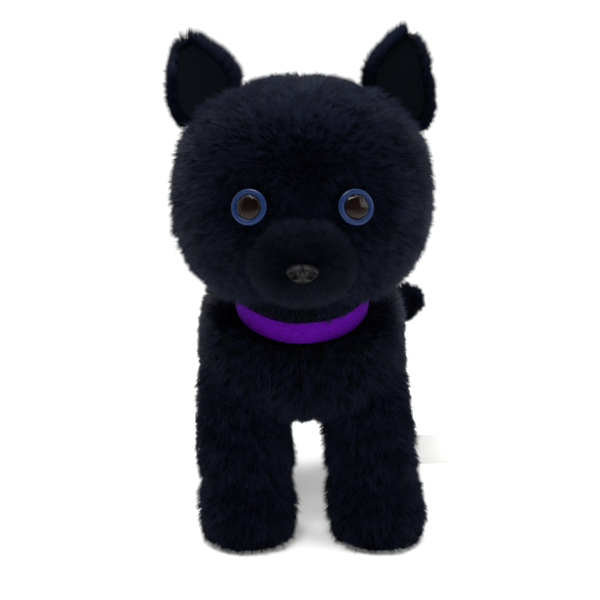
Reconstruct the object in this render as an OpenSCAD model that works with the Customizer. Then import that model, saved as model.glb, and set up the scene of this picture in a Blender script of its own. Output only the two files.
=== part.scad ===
// Standing stuffed kitten with a felt collar, drawn the way it is cut, sewn and filled.
// Millimetres. The soles stand on z = 0 and the face looks along -Y. "left" is the kitten's own left, +X.

/* [Head] */
// Width of the head over the pile
head_width = 202; // [186:1:216]
// Height of the head over the pile
head_height = 178; // [166:1:190]
// Depth of the head without the muzzle
head_depth = 164; // [150:1:176]
// How far the muzzle stands out of the face
muzzle_out = 14; // [10:0.5:18]
// Height of an ear above its seam
ear_height = 64; // [52:1:80]
// Width of an ear along its seam
ear_width = 62; // [52:1:68]

/* [Eyes and nose] */
// Diameter of a safety eye
eye_diameter = 24; // [18:0.5:28]
// Spacing of the two eyes
eye_spacing = 72; // [64:1:84]
// Width of the nose button
nose_width = 21; // [16:0.5:25]

/* [Body] */
// Width of the body over the pile
body_width = 164; // [140:1:180]
// Length of the body over the pile
body_length = 228; // [205:1:262]
// Depth of the body from back to belly
body_depth = 112; // [106:1:120]
// Backing and pile of the long pile cloth together
pile = 5; // [4:0.25:6]

/* [Legs and tail] */
// Radius of a front leg over the pile
leg_radius = 34; // [28:0.5:34]
// Radius of a paw over the pile
paw_radius = 36.5; // [31:0.5:37]
// Radius of the tail over the pile
tail_radius = 19.5; // [14:0.5:20]

/* [Collar and label] */
// Width of the collar band
collar_width = 18; // [10:0.5:19]
// Thickness of the felt of the collar
collar_thickness = 2; // [1.5:0.1:2.2]
// Length of the care label out of its seam
label_length = 88; // [50:1:110]
// Height of the care label
label_height = 30; // [18:1:34]

/* [Hidden] */
// gap between two pieces that rest on each other
gap = 0.1;
// gap between the filling and the faceted cloth it presses on
loose = 0.8;
// gap between two pieces that move on each other
play = 0.6;
// ball of the neck, its tilt, and where it sits under the head
neck_r = 50.5;
neck_tilt = 30;
// half sizes of the head and of the body
hx = head_width / 2;
hy = head_depth / 2;
hz = head_height / 2;
body_c = [0, 5, 140];
bx = body_width / 2;
by = body_length / 2;
bz = body_depth / 2;
// ends of the body, and the neck that stands on its front
front_y = body_c[1] - by;
rear_y = body_c[1] + by;
neck = [0, front_y + 34, body_c[2] + bz - 9];
head_c = [0, neck[1], neck[2] - 14 + hz];
// the half slot the collar turns in, and the swing the nod needs
slot = collar_width / 2 + 1.5;
nod = 8.5;
// shoulders and hips: [x at the joint, y, z, x at the paw, joint radius, half width, leg radius]
shoulder_z = neck[2] - 71;
hip_z = neck[2] - 75;
leg_swing = 15;
keel_front = [-6.5, 12.5];
keel_rear = 27;
legs = [[keel_front[1] + 1.5 + leg_radius, front_y + 37, shoulder_z, keel_front[1] + 8.5 + leg_radius,
            leg_radius + 2, leg_radius, leg_radius, front_y + 27],
        [keel_front[0] - 1.5 - leg_radius, front_y + 37, shoulder_z, keel_front[0] + 2.5 - leg_radius,
            leg_radius + 2, leg_radius, leg_radius, front_y + 27],
        [keel_rear + 1 + leg_radius, rear_y - 43, hip_z, keel_rear + 5 + leg_radius,
            leg_radius + 6, leg_radius, leg_radius + 0.5, rear_y - 45],
        [-keel_rear - 1 - leg_radius, rear_y - 43, hip_z, -keel_rear - 5 - leg_radius,
            leg_radius + 6, leg_radius, leg_radius + 0.5, rear_y - 45]];
// tail root ball and the tail's centre line
tail_c = [0, rear_y - 8, body_c[2] + 10];
tail_ball = tail_radius + 1.5;
tail_p = [tail_c, tail_c + [0, 56, -14], tail_c + [98, 64, -20], tail_c + [112, 18, 12]];
// direction of the muzzle, and its half width and half height seen from the middle of the head
muz_a = -36.5;
muz_w = 0.40;
muz_h = 0.394;
// the care label's seam on the hind left paw
label_x = legs[2][3] + max(paw_radius, leg_radius + 0.5) - 0.3;
label_y = legs[2][7];
// the part stands with the middle of its box over the origin
box_x0 = -max(legs[2][3] + paw_radius, hx, ear_reach(-1));
box_x1 = label_x + label_length;
box_y0 = min(nose_tip_y(), legs[0][7] - paw_radius);
box_y1 = tail_back();
shift = [-(box_x0 + box_x1) / 2, -(box_y0 + box_y1) / 2, 0];

// ---- shape functions ----
function unit(v) = v / norm(v);
function dir(b, a) = [sin(b), -cos(b) * cos(a), cos(b) * sin(a)];
// distance from the middle to a rounded box-like egg with half sizes x, y, z and power p
function egg(d, x, y, z, p) =
    pow(pow(abs(d[0]) / x, p) + pow(abs(d[1]) / y, p) + pow(abs(d[2]) / z, p), -1 / p);
function head_p(d, t) = head_c + egg(d, hx - t, hy - t, hz - t, 2.35 - 0.3 * d[2]) * d;
function body_p(d, t) = let (q = egg(d, bx - t, by - t, bz - t, 2.6) * d)
    body_c + q + [0, 0, 18 * max(0, q[2] / bz) * exp(-pow((body_c[1] + q[1] - neck[1] - 42) / 48, 2))];
// half width of the forehead panel, as an angle, round the head from the nose to the nape
function brow(a) = lookup(a, [[-30, 6], [0, 7], [35, 20], [65, 30], [95, 30], [130, 24], [170, 12], [205, 1]]);
// half width of the belly panel, as an angle, from the rump under the belly to the chest
function belly(a) = lookup(a, [[200, 1], [225, 10], [270, 13], [312, 8], [340, 1]]);
// the muzzle: r runs from 0 in its middle to 1 at its seam, f runs round it
function muz_d(r, f) = unit(dir(0, muz_a)
    + r * (muz_w * cos(f) * [1, 0, 0] + muz_h * sin(f) * [0, sin(muz_a), cos(muz_a)]));
function muz_up(r) = r >= 1 ? 0 : pow(1 - pow(r, 2.6), 0.62);
function muz_p(r, f, t) = head_p(muz_d(r, f), t)
    + (muzzle_out * muz_up(t > 0 ? r / 0.9 : r)) * muz_d(r, f);
// cubic curve of the tail
function tail_at(s) = pow(1 - s, 3) * tail_p[0] + 3 * pow(1 - s, 2) * s * tail_p[1]
    + 3 * (1 - s) * s * s * tail_p[2] + s * s * s * tail_p[3];
function tail_dir(s) = unit(tail_at(s + 0.01) - tail_at(s - 0.01));
function tail_back() = max([for (s = [0:0.02:1]) tail_at(s)[1] + tail_radius
    * sqrt(1 - pow(tail_dir(s)[1], 2))]);

// ---- closed solids from rings of points ----
// a cup of cloth: rings of outer points from the rim to the tip, and the same inside
module cup(P, p0, Q, q0, flip = false) {
    m = len(P);
    n = len(P[0]);
    k = m * n + 1;
    pts = concat([for (r = P) for (p = r) p], [p0], [for (r = Q) for (p = r) p], [q0]);
    f = concat(
        [for (j = [0:m - 2]) for (i = [0:n - 1]) let (a = j * n + i, b = j * n + (i + 1) % n) each
            [[a, b, b + n], [a, b + n, a + n], [k + a, k + b + n, k + b], [k + a, k + a + n, k + b + n]]],
        [for (i = [0:n - 1]) let (a = (m - 1) * n + i, b = (m - 1) * n + (i + 1) % n) each
            [[a, b, m * n], [k + b, k + a, k + m * n]]],
        [for (i = [0:n - 1]) let (b = (i + 1) % n) each [[b, i, k + i], [b, k + i, k + b]]]);
    polyhedron(pts, flip ? [for (t = f) [t[2], t[1], t[0]]] : f, convexity = 6);
}
// a strip of cloth: rows of outer points and the same rows inside
module strip(P, Q, flip = false) {
    n = len(P) - 1;
    w = len(P[0]);
    k = (n + 1) * w;
    pts = concat([for (r = P) for (p = r) p], [for (r = Q) for (p = r) p]);
    f = concat(
        [for (i = [0:n - 1]) for (j = [0:w - 2]) let (a = i * w + j) each
            [[a, a + 1, a + w + 1], [a, a + w + 1, a + w], [k + a, k + a + w + 1, k + a + 1],
             [k + a, k + a + w, k + a + w + 1]]],
        [for (j = [0:w - 2]) let (a = j, c = n * w + j) each
            [[a + 1, a, k + a], [a + 1, k + a, k + a + 1], [c, c + 1, k + c + 1], [c, k + c + 1, k + c]]],
        [for (i = [0:n - 1]) let (a = i * w, b = a + w - 1) each
            [[a, a + w, k + a + w], [a, k + a + w, k + a], [b + w, b, k + b], [b + w, k + b, k + b + w]]]);
    polyhedron(pts, flip ? [for (t = f) [t[2], t[1], t[0]]] : f, convexity = 6);
}
// a filled solid: rings of points between two end points
module filled(P, p0, p1, flip = false) {
    m = len(P);
    n = len(P[0]);
    pts = concat([for (r = P) for (p = r) p], [p0, p1]);
    f = concat(
        [for (j = [0:m - 2]) for (i = [0:n - 1]) let (a = j * n + i, b = j * n + (i + 1) % n) each
            [[a, b, b + n], [a, b + n, a + n]]],
        [for (i = [0:n - 1]) let (b = (i + 1) % n, c = (m - 1) * n) each
            [[b, i, m * n], [c + i, c + b, m * n + 1]]]);
    polyhedron(pts, flip ? [for (t = f) [t[2], t[1], t[0]]] : f, convexity = 6);
}
// a turned solid with rounded edges: radius r, length l along Z, edge c
module turned(r, l, c) {
    rotate_extrude($fn = 72) {
        translate([0, -l / 2]) square([r - c, l]);
        translate([0, -l / 2 + c]) square([r, l - 2 * c]);
        translate([r - c, l / 2 - c]) circle(c, $fn = 40);
        translate([r - c, c - l / 2]) circle(c, $fn = 40);
    }
}

// ---- cuts shared by the pieces ----
// stands in the middle of the neck, with Z up along it
module at_neck() translate(neck) rotate([neck_tilt, 0, 0]) children();
// the neck's own outline, a ball cut flat where it stands on the body
foot_h = 16;
module neck_ball(r, d, n = 72) intersection() {
    sphere(r, $fn = n);
    translate([-80, -80, d - foot_h]) cube([160, 160, 160]);
}
// what the head leaves free for the neck, the collar and the nod; extra deepens it for the stuffing
module under_head(extra = 0) at_neck() {
    sphere(neck_r + play + extra, $fn = extra > 0 ? 40 : 72);
    rotate([90, 0, 90]) linear_extrude(400, center = true)
        polygon([[-150, slot + extra + 150 * tan(nod)], [0, slot + extra], [150, slot + extra + 150 * tan(nod)],
                 [150, -160], [-150, -160]]);
}
// what the body leaves free for the neck and the collar
module over_body(extra = 0) at_neck() {
    neck_ball(neck_r + play + extra, -play - extra, extra > 0 ? 40 : 72);
    translate([-150, -130, -slot - extra]) cube([300, 260, 200]);
}
// one leg's joint and its swing, cut through the body from x0 outward
module leg_room(l, x0, s, extra = 0) {
    r = l[4] + play + extra;
    translate([x0, l[1], l[2]]) rotate([90, 0, 90]) linear_extrude(140) {
        circle(r, $fn = 72);
        rotate(leg_swing + 0.5) translate([-r, -90]) square([2 * r, 90]);
        rotate(-leg_swing - 0.5) translate([-r, -90]) square([2 * r, 90]);
        if (s > 0) translate([-60, -90]) square([60, 105]);
    }
}
module leg_rooms(extra = 0) {
    leg_room(legs[0], keel_front[1] - extra, 1, extra);
    mirror([1, 0, 0]) leg_room(legs[1], -keel_front[0] - extra, 1, extra);
    leg_room(legs[2], keel_rear - extra, -1, extra);
    mirror([1, 0, 0]) leg_room(legs[3], keel_rear - extra, -1, extra);
}
// stands on the backing under one eye, with Z outward; s is +1 on the left
eye_b = asin(eye_spacing / 2 / (egg(dir(24.3, -9.4), hx - pile, hy - pile, hz - pile, 2.4) + 5.13));
module at_eye(s) translate(head_p(dir(s * eye_b, -9.4), pile - 1)) rotate([0, 0, s * 13]) rotate([84, 0, 0])
    rotate([0, 0, s > 0 ? 0 : 180]) children();
// the pocket in the pile and the hole for the shank
module eye_pocket() {
    translate([0, 0, 0.5]) cylinder(h = 24, r = eye_diameter / 2 + 0.3, $fn = 64);
    translate([0, 0, -20]) cylinder(h = 40, r = 2.9, $fn = 32);
}
// the washer lies under the backing, deeper the wider it is, as the backing curves away
eye_washer_r = eye_diameter / 2 - 3;
eye_washer_z = -3.9 - 0.7 * pow(eye_washer_r / 9, 2) * 89 / hz;
// room inside the filling for the washer and the shank
module eye_room() {
    translate([0, 0, eye_washer_z - 0.4]) cylinder(h = 8 - eye_washer_z + 0.4, r = eye_washer_r + 0.5, $fn = 48);
    translate([0, 0, -17]) cylinder(h = 20, r = 3.2, $fn = 32);
}
// stands on the front of the muzzle under the nose, with Z outward
module at_nose() translate(muz_p(0.16, 90, 0)) rotate([94, 0, 0]) children();
function nose_tip_y() = muz_p(0.16, 90, 0)[1] - nose_width * 0.36;
// the nose: two lobes above and one below
module nose_form(g) hull() {
    for (s = [-1, 1]) translate([s * nose_width * 0.26, nose_width * 0.06, nose_width * 0.1])
        sphere(nose_width * 0.24 + g, $fn = 32);
    translate([0, -nose_width * 0.14, nose_width * 0.09]) sphere(nose_width * 0.19 + g, $fn = 32);
}
// stands in the seam of one ear, X along the seam and Z up the ear; s is +1 on the left
function ear_reach(s) = hx * 0.70 + (ear_height - 12) * sin(s > 0 ? 11 : 24) + 12;
module at_ear(s) translate(head_c + [s * hx * 0.69, 2, hz * 0.725])
    rotate([0, s * 39.5, 0]) rotate([0, 0, s > 0 ? -8 : 24]) children();
module ear_roll(r, l) rotate([0, 90, 0]) turned(r, l, r * 0.45);
// rounded triangle with bowed sides, its tip leaning toward the middle of the head
module ear_outline(s, k) {
    w = ear_width / 2 - k;
    h = ear_height - k - 11;
    lean = s > 0 ? 27 : 19;
    hull() {
        translate([-w + 5, 0]) square([2 * w - 10, 5]);
        translate([-s * h * sin(lean), h * cos(lean)]) circle(11, $fn = 40);
        translate([-s * h * 0.12 - w + 11, 19]) circle(9, $fn = 32);
        translate([-s * h * 0.12 + w - 11, 19]) circle(9, $fn = 32);
        translate([-s * h * 0.52 * sin(lean) - w + 18, h * 0.55]) circle(13, $fn = 32);
        translate([-s * h * 0.52 * sin(lean) + w - 18, h * 0.55]) circle(13, $fn = 32);
    }
}

// ---- head ----
module forehead_gusset() color("#1a1d26") difference() {
    P = [for (i = [0:30]) let (a = -26 + 7.5 * i) [for (k = [-4:4]) head_p(dir(k / 4 * brow(a), a), 0)]];
    Q = [for (i = [0:30]) let (a = -26 + 7.5 * i) [for (k = [-4:4]) head_p(dir(k / 4 * brow(a), a), pile)]];
    strip(P, Q, true);
    muzzle_cone();
    under_head();
    for (s = [-1, 1]) at_ear(s) ear_roll(8.2, ear_width - 3);
}
// one side of the head, from the forehead panel and the middle seams out to the cheek
module head_side(s) {
    e = [for (i = [0:47]) -26 + 7.5 * i];
    P = [for (j = [0:8]) [for (a = e) let (b0 = a < 200 ? brow(a) : 0.05)
        head_p(dir(b0 + (86 - b0) * pow(j / 8, 0.9), a), 0)]];
    Q = [for (j = [0:8]) [for (a = e) let (b0 = a < 200 ? brow(a) : 0.05)
        head_p(dir(b0 + (86 - b0) * pow(j / 8, 0.9), a), pile)]];
    difference() {
        mirror([s > 0 ? 0 : 1, 0, 0]) translate([gap / 2, 0, 0])
            cup(P, head_p([1, 0, 0], 0), Q, head_p([1, 0, 0], pile));
        muzzle_cone();
        under_head();
        at_eye(s) eye_pocket();
        at_ear(s) ear_roll(8.2, ear_width - 3);
    }
}
module head_side_left() color("#1c1f29") head_side(1);
module head_side_right() color("#1c1f29") head_side(-1);
module muzzle_cone() {
    R = [[for (f = [0:10:350]) head_c + 150 * muz_d(1.006, f)]];
    filled(R, head_c + 160 * dir(0, muz_a), head_c);
}
module muzzle_panel() color("#23262f") difference() {
    P = [for (j = [9:-1:1]) [for (f = [0:10:350]) muz_p(pow(j / 9, 0.8), f, 0)]];
    Q = [for (j = [9:-1:1]) [for (f = [0:10:350]) muz_p(pow(j / 9, 0.8), f, pile)]];
    cup(P, muz_p(0, 0, 0), Q, muz_p(0, 0, pile), true);
    under_head();
    at_nose() {
        nose_form(0.3);
        translate([0, 0, -30]) cylinder(h = 34, r = 2.7, $fn = 32);
    }
}
module head_stuffing() color("#e9e7e2") {
    t = pile + loose;
    e = [for (i = [0:35]) 10 * i];
    difference() {
        union() {
            filled([for (b = [-80:10:80]) [for (a = e) head_p(dir(b, a), t)]],
                head_p([-1, 0, 0], t), head_p([1, 0, 0], t));
            filled([for (j = [1:7]) [for (f = [0:12:348]) muz_p(j / 7 * 0.9, f, t)]],
                muz_p(0, 0, t), head_c);
        }
        under_head(1);
        for (s = [-1, 1]) {
            at_eye(s) eye_room();
            at_ear(s) ear_roll(8.3, ear_width - 2.8);
        }
        at_nose() {
            nose_form(0.4);
            translate([0, 0, -18]) cylinder(h = 20, r = 3.1, $fn = 32);
            translate([0, 0, -12]) cylinder(h = 14, r = 8, $fn = 40);
        }
    }
}

// ---- eyes: flanged cup with its shank, pupil, clear dome, locking washer ----
module eye_cup(s) at_eye(s) difference() {
    union() {
        translate([0, 0, 0.6]) cylinder(h = 2.6, r = eye_diameter / 2, $fn = 64);
        translate([0, 0, -15]) cylinder(h = 16, r = 2.6, $fn = 32);
    }
    translate([0, 0, 2.2]) cylinder(h = 3, r = eye_diameter * 0.345 + 0.1, $fn = 64);
}
module eye_pupil(s) at_eye(s) translate([0, 0, 2.25]) {
    cylinder(h = 1.2, r = eye_diameter * 0.345, $fn = 64);
    translate([0, 0, 1.2]) intersection() {
        translate([0, 0, -6.2]) sphere(8, $fn = 64);
        cylinder(h = 3, r = eye_diameter * 0.345, $fn = 64);
    }
}
module eye_dome(s) at_eye(s) difference() {
    r = eye_diameter / 2;
    h = r * 0.46;
    R = (r * r + h * h) / 2 / h;
    intersection() {
        translate([0, 0, 3.3 + h - R]) sphere(R, $fn = 96);
        translate([0, 0, 3.3]) cylinder(h = h + 1, r = r + 1, $fn = 64);
    }
    translate([0, 0, 2]) cylinder(h = 1.5, r = eye_diameter * 0.345 + 0.1, $fn = 64);
    translate([0, 0, 3.45]) intersection() {
        translate([0, 0, -6.1]) sphere(8.1, $fn = 64);
        translate([0, 0, -1]) cylinder(h = 4, r = eye_diameter * 0.345 + 0.1, $fn = 64);
    }
}
module eye_washer(s) at_eye(s) translate([0, 0, eye_washer_z]) difference() {
    cylinder(h = 1.2, r = eye_washer_r, $fn = 48);
    translate([0, 0, -1]) cylinder(h = 4, r = 2.65, $fn = 32);
}
module eye_left_cup() color("#3a5f9e") eye_cup(1);
module eye_left_pupil() color("#1f1310") eye_pupil(1);
module eye_left_dome() color("#c8d2dc") eye_dome(1);
module eye_left_washer() color("#d8d8d4") eye_washer(1);
module eye_right_cup() color("#3a5f9e") eye_cup(-1);
module eye_right_pupil() color("#1f1310") eye_pupil(-1);
module eye_right_dome() color("#c8d2dc") eye_dome(-1);
module eye_right_washer() color("#d8d8d4") eye_washer(-1);

// ---- nose ----
module nose_button() color("#15161a") at_nose() difference() {
    union() {
        nose_form(0);
        translate([0, 0, -17]) cylinder(h = 19, r = 2.4, $fn = 32);
    }
    // two nostrils and the groove between the lower lobes
    for (s = [-1, 1]) translate([s * nose_width * 0.27, -nose_width * 0.1, nose_width * 0.32])
        rotate([0, 0, s * 30]) rotate([0, 90, 0]) cylinder(h = 4, r = 1.1, center = true, $fn = 20);
    translate([-0.45, -nose_width * 0.5, nose_width * 0.25]) cube([0.9, nose_width * 0.4, 6]);
}
module nose_washer() color("#d8d8d4") at_nose() translate([0, 0, -11.6]) difference() {
    cylinder(h = 1.2, r = 7.6, $fn = 40);
    translate([0, 0, -1]) cylinder(h = 4, r = 2.45, $fn = 32);
}

// ---- ears: pile cloth behind with the roll sewn into the head, smooth cloth in front ----
module ear_shell(s, r0, r1, k) intersection() {
    translate([0, 30, 0]) rotate([90, 0, 0]) linear_extrude(80) ear_outline(s, k);
    translate([0, -66, -5]) difference() {
        cylinder(h = 120, r = r1, $fn = 120);
        translate([0, 0, -1]) cylinder(h = 122, r = r0, $fn = 120);
    }
}
module ear_back(s) at_ear(s) {
    ear_roll(7, ear_width - 6);
    ear_shell(s, 66, 72, 0);
}
module ear_lining(s) at_ear(s) difference() {
    ear_shell(s, 63.4, 66 - gap, 7);
    ear_roll(7 + gap, ear_width);
}
module ear_left_back() color("#1c1f29") ear_back(1);
module ear_left_lining() color("#2a2d36") ear_lining(1);
module ear_right_back() color("#1c1f29") ear_back(-1);
module ear_right_lining() color("#2a2d36") ear_lining(-1);

// ---- neck and collar ----
module neck_panel() color("#171a23") at_neck() difference() {
    neck_ball(neck_r, 0);
    neck_ball(neck_r - 4.6, 4.6);
    translate([0, 0, -slot + 0.4]) difference() {
        cylinder(h = 2 * slot - 0.8, r = 60, $fn = 72);
        translate([0, 0, -1]) cylinder(h = 2 * slot + 2, r = neck_r - 2.2, $fn = 72);
    }
}
module neck_stuffing() color("#e9e7e2") at_neck() neck_ball(neck_r - 4.6 - gap, 4.6 + gap);
// a band on the neck between two radii, from angle a0 to a1 counted from the front
module band(r0, r1, a0, a1, w) rotate([0, 0, a0 - 90]) translate([0, 0, -w / 2]) rotate_extrude(angle = a1 - a0, $fn = 96)
    translate([r0, 0]) square([r1 - r0, w]);
collar_r = neck_r - 1.6;
fold = collar_thickness + 2.5;
// the strap's inner radius at an angle from the front: it steps out over its own other end at the nape
function strap_r(a) = collar_r + fold * min(1, max(0, (a - 166) / 12));
function on_band(r, a) = r * [cos(a - 90), sin(a - 90)];
module collar_strap() color("#4e0682") at_neck() translate([0, 0, -collar_width / 2]) linear_extrude(collar_width)
    polygon(concat([for (a = [-172:4:212]) on_band(strap_r(a), a)],
        [for (a = [212:-4:-172]) on_band(strap_r(a) + collar_thickness, a)]));
module collar_loop_patch() color("#3f0a66") at_neck()
    band(collar_r + collar_thickness + 0.05, collar_r + collar_thickness + 1.2, 190, 210, collar_width - 2);
module collar_hook_patch() color("#2c0c44") at_neck()
    band(collar_r + collar_thickness + 1.25, collar_r + fold - 0.05, 190, 210, collar_width - 2);

// ---- body ----
// the socket of the tail, opened backward for its wag
module tail_room(extra) translate(tail_c) {
    sphere(tail_ball + play + extra, $fn = 48);
    rotate([-90, 0, 0]) cylinder(h = 30, r1 = tail_ball + play + extra, r2 = tail_ball + play + extra + 13, $fn = 48);
}
module body_side(s) difference() {
    e = [for (i = [0:35]) 10 * i];
    P = [for (j = [0:7]) [for (a = e) let (b0 = a > 195 && a < 345 ? belly(a) : 0.05)
        body_p(dir(b0 + (84 - b0) * pow(j / 7, 0.85), a), 0)]];
    Q = [for (j = [0:7]) [for (a = e) let (b0 = a > 195 && a < 345 ? belly(a) : 0.05)
        body_p(dir(b0 + (84 - b0) * pow(j / 7, 0.85), a), pile)]];
    mirror([s > 0 ? 0 : 1, 0, 0]) translate([gap / 2, 0, 0])
        cup(P, body_p([1, 0, 0], 0), Q, body_p([1, 0, 0], pile));
    over_body();
    leg_rooms();
    tail_room(0);
}
module torso_side_left() color("#191c26") body_side(1);
module torso_side_right() color("#191c26") body_side(-1);
module belly_gusset() color("#171a23") difference() {
    P = [for (a = [200:10:340]) [for (k = [-3:3]) body_p(dir(k / 3 * belly(a), a), 0)]];
    Q = [for (a = [200:10:340]) [for (k = [-3:3]) body_p(dir(k / 3 * belly(a), a), pile)]];
    strip(P, Q, true);
    over_body();
    leg_rooms();
}
module torso_stuffing() color("#e9e7e2") difference() {
    t = pile + loose * by / 57;
    filled([for (b = [-78:12:78]) [for (a = [0:12:348]) body_p(dir(b, a), t)]],
        body_p([-1, 0, 0], t), body_p([1, 0, 0], t));
    over_body(1);
    leg_rooms(1);
    tail_room(0.5);
}

// ---- legs ----
// joint roll, column and paw; t shrinks all of it for the filling
module leg_form(l, t) {
    translate([l[0], l[1], l[2]]) rotate([0, 90, 0]) turned(l[4] - t, 2 * (l[5] - t), 12 - t);
    lean = atan((l[3] - l[0]) / (l[2] - 24));
    run = atan((l[7] - l[1]) / (l[2] - 24));
    translate([l[3], l[7], 24]) rotate([run, 0, 0]) rotate([0, -lean, 0]) cylinder(h = 88, r = l[6] - t, $fn = 72);
    translate([l[3], l[7], 26]) turned(paw_radius - t, 52 - 2 * t, 11 - t);
}
sole_h = 9;
module label_slit(l) if (l[0] == legs[2][0]) translate([label_x, label_y, 1]) cylinder(h = label_height + 3.5, r = 1.5, $fn = 24);
module leg_skin(l) difference() {
    leg_form(l, 0);
    leg_form(l, pile);
    translate([l[3] - 60, l[7] - 60, -1]) cube([120, 120, sole_h + 1]);
    label_slit(l);
}
module leg_stuffing(l) leg_form(l, pile + gap);
module leg_sole(l) difference() {
    intersection() {
        translate([l[3], l[7], 26]) turned(paw_radius, 52, 11);
        translate([l[3] - 60, l[7] - 60, -1]) cube([120, 120, sole_h + 1 - gap]);
    }
    translate([l[3], l[7], 26]) turned(paw_radius - pile, 52 - 2 * pile, 11 - pile);
    label_slit(l);
}
module front_left_skin() color("#0e1119") leg_skin(legs[0]);
module front_left_stuffing() color("#e9e7e2") leg_stuffing(legs[0]);
module front_left_sole() color("#14161e") leg_sole(legs[0]);
module front_right_skin() color("#0e1119") leg_skin(legs[1]);
module front_right_stuffing() color("#e9e7e2") leg_stuffing(legs[1]);
module front_right_sole() color("#14161e") leg_sole(legs[1]);
module hind_left_skin() color("#0e1119") leg_skin(legs[2]);
module hind_left_stuffing() color("#e9e7e2") leg_stuffing(legs[2]);
module hind_left_sole() color("#14161e") leg_sole(legs[2]);
module hind_right_skin() color("#0e1119") leg_skin(legs[3]);
module hind_right_stuffing() color("#e9e7e2") leg_stuffing(legs[3]);
module hind_right_sole() color("#14161e") leg_sole(legs[3]);

// ---- tail: a tube that leaves the rump straight back and curls to the left ----
function tail_ring(s, r, n) = let (d = tail_dir(s), u = unit(cross(d, [0, 0, 1])), v = cross(u, d))
    [for (i = [0:n - 1]) tail_at(s) + r * (cos(i * 360 / n) * u + sin(i * 360 / n) * v)];
function tail_rings(r) = concat([for (i = [0:13]) tail_ring(max(0.035, i / 14), r, 24)],
    [for (a = [0, 30, 55, 75]) let (p = tail_ring(0.97, r * cos(a), 24)) [for (q = p) q + r * sin(a) * 0.9 * tail_dir(0.97)]]);
module tail_form(r, ball) {
    sphere_at_root(ball);
    filled(tail_rings(r), tail_at(0.03), tail_at(0.97) + r * 0.93 * tail_dir(0.97));
}
module sphere_at_root(r) translate(tail_c) sphere(r, $fn = 48);
module tail_skin() color("#191c26") difference() {
    tail_form(tail_radius, tail_ball);
    tail_form(tail_radius - pile, tail_ball - pile);
}
module tail_stuffing() color("#e9e7e2") tail_form(tail_radius - pile - gap, tail_ball - pile - gap);

// ---- care label: a blank folded ribbon standing on its long edge ----
module care_label() color("#f4f4f2") translate([label_x, label_y, 3]) {
    cylinder(h = label_height, r = 1.1, $fn = 24);
    translate([0, -0.5, 0]) cube([label_length, 1, label_height]);
}

translate(shift) forehead_gusset();
translate(shift) head_side_left();
translate(shift) head_side_right();
translate(shift) muzzle_panel();
translate(shift) head_stuffing();
translate(shift) eye_left_cup();
translate(shift) eye_left_pupil();
translate(shift) eye_left_dome();
translate(shift) eye_left_washer();
translate(shift) eye_right_cup();
translate(shift) eye_right_pupil();
translate(shift) eye_right_dome();
translate(shift) eye_right_washer();
translate(shift) nose_button();
translate(shift) nose_washer();
translate(shift) ear_left_back();
translate(shift) ear_left_lining();
translate(shift) ear_right_back();
translate(shift) ear_right_lining();
translate(shift) neck_panel();
translate(shift) neck_stuffing();
translate(shift) collar_strap();
translate(shift) collar_loop_patch();
translate(shift) collar_hook_patch();
translate(shift) torso_side_left();
translate(shift) torso_side_right();
translate(shift) belly_gusset();
translate(shift) torso_stuffing();
translate(shift) front_left_skin();
translate(shift) front_left_stuffing();
translate(shift) front_left_sole();
translate(shift) front_right_skin();
translate(shift) front_right_stuffing();
translate(shift) front_right_sole();
translate(shift) hind_left_skin();
translate(shift) hind_left_stuffing();
translate(shift) hind_left_sole();
translate(shift) hind_right_skin();
translate(shift) hind_right_stuffing();
translate(shift) hind_right_sole();
translate(shift) tail_skin();
translate(shift) tail_stuffing();
translate(shift) care_label();
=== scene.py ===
"""Plush kitten: cloth panels with real pile strands, fibre filling, safety eyes, moulded nose, felt collar."""
import math

import bpy
import numpy as np
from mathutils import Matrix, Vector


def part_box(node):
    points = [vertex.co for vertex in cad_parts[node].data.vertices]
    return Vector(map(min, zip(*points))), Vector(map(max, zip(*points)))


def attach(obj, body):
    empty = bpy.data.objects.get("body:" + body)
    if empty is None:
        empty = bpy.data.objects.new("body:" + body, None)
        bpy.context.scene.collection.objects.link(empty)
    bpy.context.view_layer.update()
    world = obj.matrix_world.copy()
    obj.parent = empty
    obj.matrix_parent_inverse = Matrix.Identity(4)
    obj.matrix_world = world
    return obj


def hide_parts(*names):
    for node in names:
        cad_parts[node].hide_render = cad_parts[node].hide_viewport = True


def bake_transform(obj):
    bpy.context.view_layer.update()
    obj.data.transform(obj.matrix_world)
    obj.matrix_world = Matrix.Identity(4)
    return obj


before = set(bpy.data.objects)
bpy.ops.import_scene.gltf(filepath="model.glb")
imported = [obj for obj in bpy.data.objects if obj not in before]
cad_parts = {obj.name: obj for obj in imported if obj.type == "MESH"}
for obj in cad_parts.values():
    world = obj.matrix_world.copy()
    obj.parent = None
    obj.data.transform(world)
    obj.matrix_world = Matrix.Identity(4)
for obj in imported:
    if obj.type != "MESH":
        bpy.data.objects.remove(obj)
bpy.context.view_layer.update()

# ---------------------------------------------------------------- head cloth
# Four panels as they are cut: a forehead strip, two sides and the muzzle insert. The backing lies under
# the CAD skin by the depth of the pile, and the pile grows out of it to the CAD skin.
# Points are in millimetres in the kitten's own frame: x = 0 is its middle, its front soles are at y = -82.
place = np.array([np.mean(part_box("neck_stuffing"), 0)[0] * 1000,
                  np.mean(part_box("front_left_sole"), 0)[1] * 1000 + 82, 0.0])
HEAD = np.array([0.0, -75.0, 262.0])
NECK = np.array([0.0, -75.0, 187.0])
NECK_UP = np.array([0.0, -0.5, 0.8660254])
NECK_BACK = np.array([0.0, 0.8660254, 0.5])
PILE = 5.5
CLOTH = 1.2
HEAD_CLEAR = 11.2
FIBRE_CLEAR = 14.6
EYE_SIDE = 24.3
MUZZLE_DOWN = -36.5
MUZZLE_WIDE = 0.40
MUZZLE_HIGH = 0.394


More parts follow.
